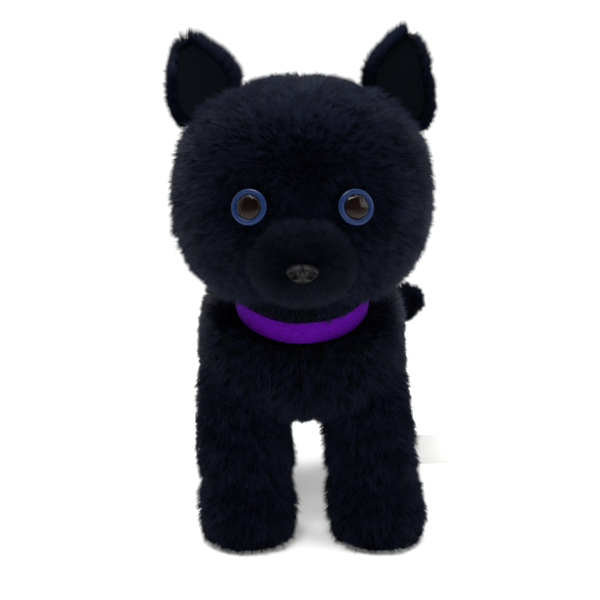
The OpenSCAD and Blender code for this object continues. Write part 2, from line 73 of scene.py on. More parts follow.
def srgb(code):
    """Linear colour of an sRGB hex code."""
    c = np.array([int(code[i:i + 2], 16) for i in (1, 3, 5)]) / 255
    c = np.where(c <= 0.04045, c / 12.92, ((c + 0.055) / 1.055) ** 2.4)
    return (*c.tolist(), 1.0)


def add(tree, kind, wires=(), **values):
    """A shader node of that kind, with its settings and inputs set, and wires (input, node, output)."""
    n = tree.nodes.new(kind)
    for key, value in values.items():
        if key in n.inputs:
            n.inputs[key].default_value = value
        else:
            setattr(n, key, value)
    for socket, other, out in wires:
        tree.links.new(other.outputs[out], n.inputs[socket])
    return n


def principled(name, **values):
    """A new material with one Principled shader, and its node tree. Keys are socket names with _ for spaces."""
    m = bpy.data.materials.new(name)
    m.use_nodes = True
    s = m.node_tree.nodes["Principled BSDF"]
    for key, value in values.items():
        s.inputs[key.replace("_", " ")].default_value = value
    return m, m.node_tree, s


def outward(v, f, way=None):
    """The triangles f, turned over if they enclose a negative volume, or if they face against way."""
    a, b, c = (v[f[:, k]] - v.mean(0) for k in range(3))
    n = np.cross(b - a, c - a)
    return f[:, ::-1] if np.sum(n * (a if way is None else way)) < 0 else f


def mesh(name, v, f, material, uv=None, smooth=True):
    """An object from points in millimetres in the kitten's own frame and an array of triangles or quads."""
    me = bpy.data.meshes.new(name)
    v = (np.asarray(v, float) + place) * 0.001
    f = np.asarray(f, np.int32)
    if uv is None:
        f = outward(v, f)
    me.vertices.add(len(v))
    me.vertices.foreach_set("co", v.astype(np.float32).ravel())
    me.loops.add(f.size)
    me.loops.foreach_set("vertex_index", f.ravel())
    me.polygons.add(len(f))
    me.polygons.foreach_set("loop_start", np.arange(0, f.size, f.shape[1], dtype=np.int32))
    me.polygons.foreach_set("use_smooth", np.full(len(f), smooth))
    if uv is not None:
        layer = me.uv_layers.new(name="OFBake")
        layer.data.foreach_set("uv", np.asarray(uv, np.float32).ravel())
    me.update(calc_edges=True)
    me.validate()
    me.materials.append(material)
    o = bpy.data.objects.new(name, me)
    bpy.context.scene.collection.objects.link(o)
    return o


def grid(m, n, wrap=True, start=0):
    """Triangles of a grid of m rows of n points; wrap joins each row's ends. They face outward where the rows
    go up and the points go round to the left."""
    i, j = np.meshgrid(np.arange(m - 1), np.arange(n if wrap else n - 1), indexing="ij")
    a, b = (i * n + j).ravel(), (i * n + (j + 1) % n).ravel()
    return np.concatenate([np.stack([a, b, b + n], 1), np.stack([a, b + n, a + n], 1)]) + start


def fan(row, n, tip, flip=False):
    """Triangles from the ring of n points that starts at index row to the point tip."""
    a, b = row + np.arange(n), row + (np.arange(n) + 1) % n
    return np.stack([b, a, np.full(n, tip)] if flip else [a, b, np.full(n, tip)], 1)


def domed(m, n):
    """Triangles of m rings of n points, closed over the point that follows them."""
    return np.concatenate([grid(m, n), fan((m - 1) * n, n, m * n)])


def capped(m, n):
    """Triangles of m rings of n points, closed at both ends by the two points that follow them."""
    return np.concatenate([grid(m, n), fan(0, n, m * n, True), fan((m - 1) * n, n, m * n + 1)])


def unit(v):
    """Vectors scaled to length one."""
    return v / np.maximum(np.linalg.norm(v, axis=-1, keepdims=True), 1e-9)


def ray(b, a):
    """Direction at b degrees off the middle plane and a degrees round from the face over the top."""
    b, a = np.radians(b), np.radians(a)
    b, a = np.broadcast_arrays(b, a)
    return np.stack([np.sin(b), -np.cos(b) * np.cos(a), np.cos(b) * np.sin(a)], -1)


def egg(d, half, p):
    """Distance from the middle along d to a boxy egg: the p-th powers of |d| over its half sizes add to one."""
    return np.sum((np.abs(d) / np.asarray(half)) ** np.asarray(p)[..., None], -1) ** (-1 / np.asarray(p))


def brow(a):
    """Half width of the forehead strip in degrees, a degrees round the head."""
    return np.interp(a, [-30, 0, 35, 65, 95, 130, 170, 205], [6, 7, 20, 30, 30, 24, 12, 1])


def lid(p, side, clear):
    """Flattens what would lie in the collar's slot: points nearer the neck's plane than clear move onto it."""
    h = (p - NECK) @ NECK_UP
    y = np.abs((p - NECK) @ NECK_BACK)
    low = clear + (0.12 * y if side > 0 else 0)
    gap = np.maximum(low - side * h, 0)
    return p + side * gap[..., None] * NECK_UP


def head(d, t):
    """Head surface along d: an egg 196 wide, 177 high and 164 deep shrunk by t, pulled in by the shank at
    each eye, and creased along the two forehead seams and over the middle of the crown."""
    r = egg(d, (98 - t, 82 - t, 88.5 - t), 2.35 - 0.3 * d[..., 2])
    for s in (-1, 1):
        e = np.sum(d * ray(EYE_SIDE * s, -8.0), -1)
        off = np.degrees(np.arccos(np.clip(e, -1, 1)))
        r = r - 4.2 * np.exp((e - 1) / 0.016) + 2.2 * np.exp(-((off - 19) / 6) ** 2)
    a = np.degrees(np.arctan2(d[..., 2], -d[..., 1]))
    b = np.degrees(np.arcsin(np.clip(d[..., 0], -1, 1)))
    on = np.clip((a - 8) / 20, 0, 1) * np.clip((165 - a) / 30, 0, 1)
    r = r - 2.6 * on * np.exp(-((np.abs(b) - brow(a)) / 2.4) ** 2)
    r = r - 1.6 * np.clip((a - 60) / 15, 0, 1) * np.exp(-(b / 1.8) ** 2)
    return HEAD + r[..., None] * d


def muzzle_ray(r, f):
    """Direction to the muzzle: r is 0 in its middle and 1 at its seam, f runs round it."""
    m = np.radians(MUZZLE_DOWN)
    r, f = np.broadcast_arrays(r, np.radians(f))
    v = np.stack([MUZZLE_WIDE * r * np.cos(f), -math.cos(m) + MUZZLE_HIGH * r * np.sin(f) * math.sin(m),
                  math.sin(m) + MUZZLE_HIGH * r * np.sin(f) * math.cos(m)], -1)
    return unit(v)


def muzzle(r, f, t):
    """Muzzle surface: the head's egg raised by 12.5 mm times (1 - r^2.2)^0.75, with a dip along its seam."""
    d = muzzle_ray(r, f)
    rise = 12.5 * np.clip(1 - np.clip(r, 0, 1) ** 2.2, 0, 1) ** 0.75 - 0.8 * np.exp(-((r - 1) / 0.05) ** 2)
    return HEAD + (np.linalg.norm(head(d, t) - HEAD, axis=-1) + rise)[..., None] * d


def cup(outer, tip, inner, inner_tip):
    """A closed cup of cloth from rings of outer points, their end point, and the same inside."""
    m, n = outer.shape[:2]
    k = m * n + 1
    j = np.arange(n)
    i = (j + 1) % n
    rim = np.concatenate([np.stack([i, j, k + j], 1), np.stack([i, k + j, k + i], 1)])
    inside = fan(k + (m - 1) * n, n, k + m * n, True)
    f = np.concatenate([domed(m, n), grid(m, n, start=k)[:, ::-1], inside, rim])
    return np.concatenate([outer.reshape(-1, 3), [tip], inner.reshape(-1, 3), [inner_tip]]), f


def strip(outer, inner):
    """A closed strip of cloth from a grid of outer points and the same grid inside."""
    m, n = outer.shape[:2]
    k = m * n
    i, j = np.arange(m - 1) * n, np.arange(n - 1)
    e = k - n
    f = np.concatenate([grid(m, n, False), grid(m, n, False, k)[:, ::-1],
                        np.stack([j + 1, j, k + j], 1), np.stack([j + 1, k + j, k + j + 1], 1),
                        np.stack([e + j, e + j + 1, k + e + j + 1], 1),
                        np.stack([e + j, k + e + j + 1, k + e + j], 1),
                        np.stack([i, i + n, k + i + n], 1), np.stack([i, k + i + n, k + i], 1),
                        np.stack([i + 2 * n - 1, i + n - 1, k + i + n - 1], 1),
                        np.stack([i + 2 * n - 1, k + i + n - 1, k + i + 2 * n - 1], 1)])
    return np.concatenate([outer.reshape(-1, 3), inner.reshape(-1, 3)]), f


def lumps(p, size, seed):
    """Smooth noise near -1..1 at points p: waves of about that size in millimetres, in set directions."""
    g = np.random.default_rng(seed)
    out = 0
    for k in range(5):
        w = unit(g.normal(size=3)) * 2 * math.pi / (size * g.uniform(0.7, 1.5))
        out = out + np.sin(p @ w + g.uniform(0, 6.28) + 1.3 * np.sin(p @ np.roll(w, 1) + k))
    return out / 3


# a matt black knit, seen only as the dark between the strands
backing = principled("knitted polyester backing", Base_Color=srgb("#010204"), Roughness=0.95,
                     Specular_IOR_Level=0.05)[0]


def pile_cloth_with_painted_root_shade(name, root, tip):
    """Material of a pile: each strand has its own tone, and its colour darkens from tip to root as painted shade.
    Polyester fibre as fine as this has next to no gloss, so the pile stays near black with a little blue."""
    m, t, s = principled(name, Roughness=0.6, Sheen_Weight=0.03, Sheen_Roughness=0.35,
                         Sheen_Tint=srgb("#7d8ab4"), Specular_IOR_Level=0.1, Specular_Tint=srgb("#8f9cc8"))
    uv = add(t, "ShaderNodeUVMap", uv_map="OFBake")
    xyz = add(t, "ShaderNodeSeparateXYZ", [("Vector", uv, "UV")])
    ramp = add(t, "ShaderNodeValToRGB", [("Fac", xyz, "Y")])
    # the ramp darkens each strand towards its root: painted shade down in the pile, lighter at the tip
    ramp.color_ramp.elements[0].position, ramp.color_ramp.elements[0].color = 0.15, srgb(root)
    ramp.color_ramp.elements[1].position, ramp.color_ramp.elements[1].color = 0.95, srgb(tip)
    tone = add(t, "ShaderNodeMapRange", [("Value", xyz, "X")])
    tone.inputs["To Min"].default_value, tone.inputs["To Max"].default_value = 0.15, 2.4
    mix = add(t, "ShaderNodeVectorMath", [(0, ramp, "Color")], operation="SCALE")
    t.links.new(tone.outputs["Result"], mix.inputs["Scale"])
    t.links.new(mix.outputs["Vector"], s.inputs["Base Color"])
    return m


# both piles are painted near black at the root and lighter at the tip, as painted shade down in the pile
long_pile = pile_cloth_with_painted_root_shade("black polyester plush pile, painted shade at the roots", "#020307", "#121626")
short_pile = pile_cloth_with_painted_root_shade("black short plush pile, painted shade at the roots", "#020306", "#10131d")


def grow(name, v, f, material, count, seed, length, flow, lean, width=0.48, bunch=8, spread=1.5, pull=0.45,
         keep=None, way=None):
    """A pile of fine three-sided strands on a skin of points v and outward triangles f.

    Bunches of strands share a root, a direction and a length. The direction is the skin's outward normal turned
    by lean towards flow, with noise; each strand starts beside the bunch's root and its tip is pulled in to the
    bunch's tip, and no tip goes below the table. length and lean are numbers or functions of the root points, and
    keep gives the share that stays there.
    """
    g = np.random.default_rng(seed)
    f = outward(v, f, way)
    a, b, c = v[f[:, 0]], v[f[:, 1]], v[f[:, 2]]
    n = np.cross(b - a, c - a)
    size = np.linalg.norm(n, axis=1)
    soft = np.zeros_like(v)
    for k in range(3):
        np.add.at(soft, f[:, k], n)
    soft = unit(soft)
    total = max(1, int(count / bunch))
    pick = np.searchsorted(np.cumsum(size) / size.sum(), g.random(total)).clip(0, len(f) - 1)
    u, w = np.sqrt(g.random((total, 1))), g.random((total, 1))
    w3 = [1 - u, u * (1 - w), u * w]
    root = sum(w3[k] * v[f[pick, k]] for k in range(3))
    up = unit(sum(w3[k] * soft[f[pick, k]] for k in range(3)))
    call = lambda x: x(root) if callable(x) else np.full(len(root), float(x))
    if keep is not None:
        ok = g.random(len(root)) < call(keep)
        root, up = root[ok], up[ok]
    way = flow(root) if callable(flow) else np.broadcast_to(np.asarray(flow, float), root.shape)
    way = unit(way - np.sum(way * up, 1, keepdims=True) * up)
    ln, tilt = call(length), np.radians(call(lean))
    way = unit(way + 0.35 * np.stack([lumps(root, 26, seed + k) for k in range(3)], 1))
    d = unit(up * np.cos(tilt)[:, None] + way * np.sin(tilt)[:, None] + 0.18 * g.normal(size=root.shape))
    ln = ln * (1 + 0.10 * g.normal(size=len(root)) + 0.10 * lumps(root, 14, seed + 9))
    side = unit(np.cross(up, way))
    fwd = np.cross(side, up)
    k = bunch
    off = g.normal(size=(len(root), k, 2)) * spread
    at = root[:, None] + off[..., :1] * side[:, None] + off[..., 1:] * fwd[:, None]
    at = at - up[:, None] * (np.sum(off ** 2, -1, keepdims=True) / 160 + 0.6)
    one = ln[:, None, None] * (1 + 0.14 * g.normal(size=(len(root), k, 1))).clip(0.5, 1.35)
    end = at + one * d[:, None] + pull * (root[:, None] - at) + 0.07 * one * g.normal(size=at.shape)
    at, end = at.reshape(-1, 3), end.reshape(-1, 3)
    end[:, 2] = np.maximum(end[:, 2], 0.3)
    axis = unit(end - at)
    e1 = unit(np.cross(axis, unit(g.normal(size=axis.shape))))
    e2 = np.cross(axis, e1)
    wide = (width * (0.8 + 0.4 * g.random((len(at), 1)))) * 0.577
    pts = [at + wide * (math.cos(q) * e1 + math.sin(q) * e2) for q in (0, 2.0944, 4.18879)]
    q = np.arange(len(at)) * 4
    vv = np.stack(pts + [end], 1).reshape(-1, 3)
    ff = np.stack([np.stack([q + i, q + (i + 1) % 3, q + 3], 1) for i in range(3)], 1).reshape(-1, 3)
    patch = 0.14 * lumps(root, 22, seed + 3) + 0.10 * lumps(root, 7, seed + 4)
    patch = patch + 0.14 * g.normal(size=len(root))
    tone = np.clip(0.42 + 0.16 * g.normal(size=len(at)) + np.repeat(patch, k), 0.01, 0.99)
    uv = np.zeros((len(at), 3, 3, 2), np.float32)
    uv[..., 0] = tone[:, None, None]
    # the second coordinate runs from root to tip and drives the painted shade that darkens each strand at its root
    uv[:, :, :2, 1], uv[:, :, 2, 1] = 0.02, 0.98
    return mesh(name, vv, ff, material, uv)


def neck_free(p):
    """1 where pile may grow: off the flat under the head and over the body that the neck and collar stand in."""
    q = p - NECK
    h = q @ NECK_UP
    y = np.abs(q @ NECK_BACK)
    off = np.linalg.norm(q - h[:, None] * NECK_UP, axis=1)
    return np.where((np.abs(h) < 12.2 + 0.12 * y * (h > 0)) & (off < np.where(h > 0, 42.0, 52.0)), 0.0, 1.0)


def ease(x, low, high):
    """0 below low, 1 above high and smooth between."""
    x = np.clip((x - low) / (high - low), 0, 1)
    return x * x * (3 - 2 * x)


def head_flow(p):
    """Way the pile is brushed: up and back over the crown, out over the cheeks, down the chin."""
    q = p - HEAD
    rise = -0.55 + 0.85 * ease(q[:, 2], 5, 60)
    return np.stack([np.clip(q[:, 0] / 45, -1, 1), 0.25 * np.ones(len(q)), rise], 1)


def head_lean(p):
    """Steep to the skin on the middle of the brow, where the pile points at the viewer, and laid over elsewhere."""
    q = p - HEAD
    front = np.clip(1 - np.hypot(q[:, 0] / 52, (q[:, 2] - 22) / 50), 0, 1) * ease(-q[:, 1], 10, 45)
    return 51 - 32 * ease(front, 0, 0.8)


def head_length(p):
    """Short on the brow, the nose bridge and round the eyes, long on the cheeks, under the chin and round the
    ears' seams."""
    q = p - HEAD
    cheek = np.clip((np.abs(q[:, 0]) - 30) / 45, 0, 1)
    eye = np.minimum(*[np.linalg.norm(q - 87 * ray(EYE_SIDE * s, -8.0), axis=1) for s in (-1, 1)])
    face = (6.2 + 2.6 * cheek) * np.clip(0.42 + (eye - 11) / 24, 0.42, 1)
    chin = 3.0 * ease(-q[:, 2], 62, 78) * ease(-q[:, 1], -10, 20)
    seam = np.minimum(*[np.linalg.norm(q - [s * 70, 2, 64.5], axis=1) for s in (-1, 1)])
    return face + (8.4 - face) * ease(q[:, 1], -45, -10) + chin + 2.0 * (1 - ease(seam, 20, 42))


def head_keep(p):
    """1 where pile grows on the head: off the neck and clear of the eyes' flanges."""
    q = p - HEAD
    eye = np.minimum(*[np.linalg.norm(q - 85 * ray(EYE_SIDE * s, -8.5), axis=1) for s in (-1, 1)])
    return neck_free(p) * (eye > 10.0)


a = np.linspace(-24, 204, 74)[:, None]
share = np.linspace(-1, 1, 25)[None]
out = lid(head(ray(share * brow(a), a), PILE), 1, HEAD_CLEAR)
inn = lid(head(ray(share * brow(a), a), PILE + CLOTH), 1, HEAD_CLEAR + CLOTH)
v, f = strip(out, inn)
forehead = mesh("forehead_gusset_cloth", v, f, backing)
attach(forehead, "head")
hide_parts("forehead_gusset")
skin = grid(74, 25, False)


def off_muzzle(p):
    """1 outside the muzzle's seam."""
    d = unit(p - HEAD)
    m = ray(0, MUZZLE_DOWN)
    dz = np.cross([1.0, 0, 0], m)
    c = np.maximum(d @ m, 1e-3)
    r = np.hypot((d[:, 0] / c) / MUZZLE_WIDE, (d @ dz / c) / MUZZLE_HIGH)
    return (r > 0.99) | (d @ m < 0.3)


o = grow("forehead_gusset_pile", out.reshape(-1, 3), skin, long_pile, 44000, 11, head_length, head_flow,
         head_lean, keep=lambda p: head_keep(p) * off_muzzle(p))
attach(o, "head")

for s, name in ((1, "head_side_left"), (-1, "head_side_right")):
    a = np.linspace(-24, 336, 121)[:-1][None]
    edge = np.where(a < 203, brow(a), 0.05)
    b = edge + (87 - edge) * np.linspace(0, 1, 34)[:, None] ** 0.9
    out = lid(head(ray(b, a), PILE), 1, HEAD_CLEAR)
    inn = lid(head(ray(b, a), PILE + CLOTH), 1, HEAD_CLEAR + CLOTH)
    x = np.array([s, 1.0, 1.0])
    tip, tip2 = head(ray(90.0, 0.0), PILE), head(ray(90.0, 0.0), PILE + CLOTH)
    v, f = cup(out * x, tip * x, inn * x, tip2 * x)
    o = mesh(name + "_cloth", v, f, backing)
    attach(o, "head")
    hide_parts(name)
    o = grow(name + "_pile", np.concatenate([out.reshape(-1, 3), [tip]]) * x, domed(*out.shape[:2]),
             long_pile, 53000, 12 + s, head_length, head_flow, head_lean, keep=lambda p: head_keep(p) * off_muzzle(p))
    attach(o, "head")

r = np.linspace(1, 0.03, 26)[:, None] ** 0.8
ang = np.linspace(0, 360, 97)[:-1][None]
out, inn = muzzle(r, ang, PILE - 1.6), muzzle(r, ang, PILE)
centre = np.array(0.0)
tip, tip2 = muzzle(centre, centre, PILE - 1.6), muzzle(centre, centre, PILE)
v, f = cup(out, tip, inn, tip2)
o = mesh("muzzle_panel_cloth", v, f, backing)
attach(o, "head")
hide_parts("muzzle_panel")
nose_at = muzzle(np.array(0.16), np.array(90.0), 0)


def muzzle_length(p):
    """Short close to the nose and full length about 14 mm from it."""
    near = np.linalg.norm((p - nose_at) * [0.8, 0.5, 1.2], axis=1)
    return 5.6 * np.clip(0.45 + (near - 6) / 12, 0.4, 1.0)


o = grow("muzzle_panel_pile", np.concatenate([out.reshape(-1, 3), [tip]]), domed(*out.shape[:2]), short_pile,
         32000, 21, muzzle_length, lambda p: p - nose_at + np.array([0, 0, 2.0]), 42, width=0.38, spread=1.3,
         keep=lambda p: np.hypot(p[:, 0] / 9.5, (p[:, 2] - nose_at[2]) / 6.0) > 1)
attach(o, "head")

# ---------------------------------------------------------------- body cloth
# Two side panels and the belly strip, a long rounded barrel that is flat where the collar stands. The chest
# hangs full over the tops of the front legs.
BODY = np.array([0.0, 5.0, 140.0])
BODY_CLEAR = 10.8


def belly(a):
    """Half width of the belly strip in degrees, a degrees round the body."""
    return np.interp(a, [200, 225, 270, 312, 340], [1, 10, 13, 8, 1])


def body(d, t):
    """Body surface along d: a boxy egg 170 wide, 242 long and 114 deep shrunk by t, boxier and longer at the chest
    than at the rump, raised into withers behind the neck, with shallow lumps of filling."""
    fore = np.clip(0.5 - d[..., 1], 0, 1)
    r = egg(d, (85 - t, 114 - t, 57 - t), 2.7 + 0.7 * fore)
    q = r[..., None] * d
    q = q * np.stack([1 + 0 * r, np.where(q[..., 1] < 0, 128 / 114, 1.0), 1 + 0 * r], -1)
    up = 18 * np.clip(q[..., 2] / 56, 0, None) * np.exp(-((q[..., 1] + 38) / 48) ** 2)
    chest = np.exp(-((q[..., 1] + 90) / 34) ** 2) * np.exp(-((q[..., 2] + 8) / 34) ** 2)
    q = q + np.stack([0 * up, -2.0 * chest * np.exp(-(q[..., 0] / 45) ** 2), up], -1)
    q = q + (0.9 * lumps(q, 60, 5))[..., None] * d
    a = np.degrees(np.arctan2(d[..., 2], -d[..., 1])) % 360
    b = np.degrees(np.arcsin(np.clip(d[..., 0], -1, 1)))
    seam = np.where((a > 200) & (a < 340), belly(a), 0)
    q = q - (1.6 * np.exp(-((np.abs(b) - seam) / 2.0) ** 2))[..., None] * d
    return BODY + q


def body_flow(p):
    """Way the pile is brushed: back along the sides, and down on the chest."""
    q = p - BODY
    front = np.clip((-q[:, 1] - 60) / 40, 0, 1)
    return np.stack([0.15 * np.sign(q[:, 0]), 1.0 - 0.8 * front, -0.35 - 0.9 * front], 1)


for s, name in ((1, "torso_side_left"), (-1, "torso_side_right")):
    a = np.linspace(0, 360, 121)[:-1][None]
    edge = np.where((a > 199) & (a < 341), belly(a), 0.05)
    b = edge + (85 - edge) * np.linspace(0, 1, 34)[:, None] ** 0.85
    out = lid(body(ray(b, a), PILE), -1, BODY_CLEAR)
    inn = lid(body(ray(b, a), PILE + CLOTH), -1, BODY_CLEAR + CLOTH)
    tip, tip2 = body(ray(90.0, 0.0), PILE), body(ray(90.0, 0.0), PILE + CLOTH)
    x = np.array([s, 1.0, 1.0])
    v, f = cup(out * x, tip * x, inn * x, tip2 * x)
    o = mesh(name + "_cloth", v, f, backing)
    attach(o, "torso")
    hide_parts(name)
    o = grow(name + "_pile", np.concatenate([out.reshape(-1, 3), [tip]]) * x, domed(*out.shape[:2]),
             long_pile, 47000, 31 + s, 8.5, body_flow, 50, keep=neck_free)
    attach(o, "torso")

a = np.linspace(200, 340, 50)[:, None]
share = np.linspace(-1, 1, 13)[None]
out, inn = body(ray(share * belly(a), a), PILE), body(ray(share * belly(a), a), PILE + CLOTH)
v, f = strip(out, inn)
o = mesh("belly_gusset_cloth", v, f, backing)
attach(o, "torso")
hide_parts("belly_gusset")
o = grow("belly_gusset_pile", out.reshape(-1, 3), grid(50, 13, False), long_pile, 12000, 35, 8.5, body_flow, 42)
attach(o, "torso")

# ---------------------------------------------------------------- legs
# Each leg is a sleeve that comes out of the body, narrows a little, creases at the ankle and swells into the
# paw, with a flat sole panel. Each row gives the joint x, y, z, the paw x, y, and the radii of the sleeve and
# the paw.
legs = {"front_left": (48, -74, 116, 57, -82, 35.5, 36), "front_right": (-46, -74, 116, -40.5, -82, 37, 36.5),
        "hind_left": (60, 74, 112, 64, 74, 36, 36), "hind_right": (-60, 74, 112, -64, 74, 36, 36)}
SOLE = 9.0


def leg(spec, z, ang, t):
    """Leg surface at height z and ang degrees round: a round sleeve whose centre runs from the paw to the joint and
    whose radius follows the paw, the ankle crease, the calf and the shoulder, shrunk by t, with lumps of filling."""
    x0, y0, z0, x1, y1, col, paw = spec
    z, ang = np.broadcast_arrays(z, np.radians(ang))
    k = np.clip((z - 20) / (z0 - 20), 0, 1.3)
    full = np.interp(z, [0, 1, 3, 6, 10, 16, 26, 36, 43, 47, 52, 60, 80, 105, 125, 140, 150, 155],
                     [27, 29, 31.5, 33.2, 34.2, 35.2, 35.8, 35.2, 33.6, 32.6, 33.6, 34.4, 34.2, 33.6, 31, 25,
                      14, 2])
    high = np.clip((z - 20) / 60, 0, 1)
    r = full / 34 * (col * high + paw * (1 - high))
    toes = 1 + 0.05 * np.clip(1 - z / 50, 0, 1) * -np.sin(ang)
    p = np.stack([x1 + (x0 - x1) * k + (r * toes - t) * np.cos(ang),
                  y1 + (y0 - y1) * k + (r * toes - t) * np.sin(ang), z + 0 * r], -1)
    soft = 0.9 * lumps(p, 34, int(abs(x0))) * np.clip(z / 30, 0, 1)
    return p + soft[..., None] * np.stack([np.cos(ang), np.sin(ang), 0 * r], -1)


for name, spec in legs.items():
    x0, y0, z0, x1, y1, col, paw = spec
    z = np.concatenate([np.linspace(SOLE, 30, 12), np.linspace(33, 150, 40)])[:, None]
    ang = np.linspace(0, 360, 73)[:-1][None]
    out, inn = leg(spec, z, ang, PILE - 0.5), leg(spec, np.minimum(z, 149), ang, PILE + 0.7)
    tip, tip2 = np.array([x0, y0, 154.0]), np.array([x0, y0, 152.5])
    v, f = cup(out, tip, inn, tip2)
    o = mesh(name + "_skin_cloth", v, f, backing)
    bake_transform(o)
    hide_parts(name + "_skin")
    o = grow(name + "_pile", out.reshape(-1, 3), grid(*out.shape[:2]), long_pile, 38000, int(200 + x0 + y0), 8.6,
             (0, -0.15 if y0 < 0 else 0.1, -1.0), 47, keep=lambda p: np.where(p[:, 2] > 132, 0.0, 1.0))
    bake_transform(o)

    # the sole panel: a shallow cup whose flat stands on the floor, in shorter pile
    z = np.array([SOLE - 0.3, 7, 5, 3.4, 2, 1.0, 0.4])[:, None]
    out, inn = leg(spec, z, ang, PILE - 1.4), leg(spec, np.maximum(z, 1.5) + 0.6, ang, PILE)
    out[-1] = out[-1] * [1, 1, 0]
    out[..., 2] = np.maximum(out[..., 2], 0.25)
    mid_flat = np.array([x1, y1, 0.25])
    v, f = cup(out, mid_flat, inn, mid_flat + [0, 0, 1.9])
    o = mesh(name + "_sole_cloth", v, f, backing)
    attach(o, name + "_leg")
    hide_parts(name + "_sole")
    rim = out[:6]
    o = grow(name + "_sole_pile", rim.reshape(-1, 3), grid(*rim.shape[:2]), short_pile, 5000,
             int(300 + x0 + y0), 4.6, lambda p: p - np.array([x1, y1, 12.0]), 40, spread=0.9,
             keep=lambda p: np.where(p[:, 2] < 2.0, 0.0, 1.0))
    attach(o, name + "_leg")

# ---------------------------------------------------------------- tail
# A round tube that leaves the rump straight back and curls to the left, with a rounded end.
TAIL = np.array([[0, 111, 150], [0, 167, 136], [98, 175, 130], [112, 129, 162.0]])


def tail(s, ang, t):
    """Tail surface: a circle round a cubic Bezier curve of four control points, closed by a half ellipse past
    its end at s = 0.985."""
    s, ang = np.broadcast_arrays(s, np.radians(ang))
    u = np.clip(s, 0, 0.985)[..., None]
    p0, p1, p2, p3 = TAIL
    c = (1 - u) ** 3 * p0 + 3 * (1 - u) ** 2 * u * p1 + 3 * (1 - u) * u * u * p2 + u ** 3 * p3
    d = unit(3 * (1 - u) ** 2 * (p1 - p0) + 6 * (1 - u) * u * (p2 - p1) + 3 * u * u * (p3 - p2))
    e1 = unit(np.cross(d, np.array([0, 0, 1.0])))
    e2 = np.cross(e1, d)
    past = np.clip((s - 0.985) / 0.1, 0, 1)
    r = (20 - t) * np.sqrt(1 - past ** 2)
    c = c + (past * (16 - t))[..., None] * d
    return c + r[..., None] * (np.cos(ang)[..., None] * e1 + np.sin(ang)[..., None] * e2)


s = np.concatenate([np.linspace(0, 0.985, 44), 0.985 + 0.1 * np.sin(np.linspace(0.15, 1.45, 9))])[:, None]
ang = np.linspace(0, 360, 41)[:-1][None]
out, inn = tail(s, ang, PILE), tail(s, ang, PILE + CLOTH)
end = tail(np.array(1.085), np.array(0.0), PILE)
v, f = cup(out, end, inn, end * 0.96 + TAIL[3] * 0.04)
o = mesh("tail_skin_cloth", v, f, backing)
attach(o, "tail")
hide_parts("tail_skin")
o = grow("tail_pile", np.concatenate([out.reshape(-1, 3), [end]]), domed(*out.shape[:2]), long_pile, 21000,
         41, 8.0, lambda p: np.stack([p[:, 1] - 150, 40 - p[:, 0], 0 * p[:, 0]], 1), 50)
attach(o, "tail")

# ---------------------------------------------------------------- ears
# Pile cloth behind, smooth velour in front, joined round the rim where the pile shows as a fringe. The seam
# roll at the foot turns in the head.


def turn(axis, deg):
    """Rotation matrix about x, y or z."""
    c, s = math.cos(math.radians(deg)), math.sin(math.radians(deg))
    i, j = {"x": (1, 2), "y": (2, 0), "z": (0, 1)}[axis]
    m = np.eye(3)
    m[i, i], m[j, j], m[i, j], m[j, i] = c, c, -s, s
    return m


def ear(s, u, w, depth, shrink):
    """Ear surface point: u runs -1..1 across and w 0..1 up. The width eases from the seam to the rounded tip,
    the tip leans to the middle of the head, and the sheet curves forward at its edges; depth is how far behind the
    front, and shrink draws the outline in to leave room for pile."""
    h = 64 - 1.6 * shrink
    lean = math.radians(27 if s > 0 else 19)
    half = (31 - 0.6 * shrink) * np.interp(w, [-.1, .08, .2, .35, .5, .65, .8, .9, .96, .99, 1],
                                     [.62, .93, .97, .93, .83, .69, .5, .35, .23, .13, .02])
    x = u * half - s * h * w * math.sin(lean) * (0.75 + 0.25 * w)
    z = h * w * math.cos(lean)
    y = -0.0075 * (u * half) ** 2 - 3.0 * w * w + depth
    return np.stack([x, y, z + 0 * u], -1)


# a short dense nap with no strands to see: dull, with a fine grain
velour, tree, shader = principled("black velour", Base_Color=srgb("#05070c"), Roughness=0.9, Sheen_Weight=0.06,
                                  Sheen_Roughness=0.4, Sheen_Tint=srgb("#6f7ca8"), Specular_IOR_Level=0.03)
geo = add(tree, "ShaderNodeTexCoord")
noise = add(tree, "ShaderNodeTexNoise", [("Vector", geo, "Object")], Scale=900.0, Detail=3.0)
bump = add(tree, "ShaderNodeBump", [("Height", noise, "Fac")], Strength=0.35, Distance=0.0004)
tree.links.new(bump.outputs["Normal"], shader.inputs["Normal"])

